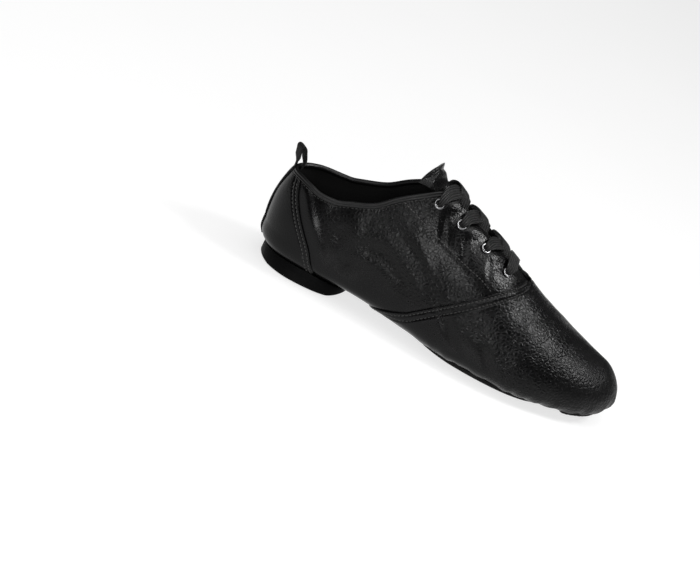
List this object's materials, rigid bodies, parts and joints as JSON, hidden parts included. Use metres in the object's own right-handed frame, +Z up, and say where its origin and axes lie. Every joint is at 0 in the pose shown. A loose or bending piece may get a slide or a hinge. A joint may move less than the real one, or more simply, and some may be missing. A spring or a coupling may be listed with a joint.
{
  "type": "jazz_shoe",
  "caption": "Black leather lace-up jazz shoe for the right foot, split suede sole, low rubber heel, metal eyelets, flat laces and a ribbon pull loop at the back",
  "frame": {"origin": "On the floor, under the middle of the shoe's bounding box", "axes": "+X from heel to toe, +Y towards the big toe side, +Z up from the floor"},
  "size_m": [0.2528, 0.087, 0.1087],
  "materials": {
    "black_leather": "satin",
    "tongue_leather": "satin",
    "insole_fabric": "matte",
    "heel_rubber": "matte",
    "sole_suede": "matte",
    "ribbon_fabric": "matte",
    "eyelet_metal": "worn dark metal",
    "lace_fabric": "woven"
  },
  "bodies": {
    "root": {"upper": "black_leather", "tongue": "tongue_leather", "insole": "insole_fabric", "heel": "heel_rubber", "forefoot_patch": "sole_suede", "toe_patch": "sole_suede", "back_ribbon": "ribbon_fabric", "eyelet_lateral_1": "eyelet_metal", "eyelet_lateral_2": "eyelet_metal", "eyelet_lateral_3": "eyelet_metal", "eyelet_lateral_4": "eyelet_metal", "eyelet_medial_1": "eyelet_metal", "eyelet_medial_2": "eyelet_metal", "eyelet_medial_3": "eyelet_metal", "eyelet_medial_4": "eyelet_metal", "lace_crossing_1": "lace_fabric", "lace_crossing_2": "lace_fabric", "lace_crossing_3": "lace_fabric", "lace_bar": "lace_fabric"}
  },
  "joints": []
}
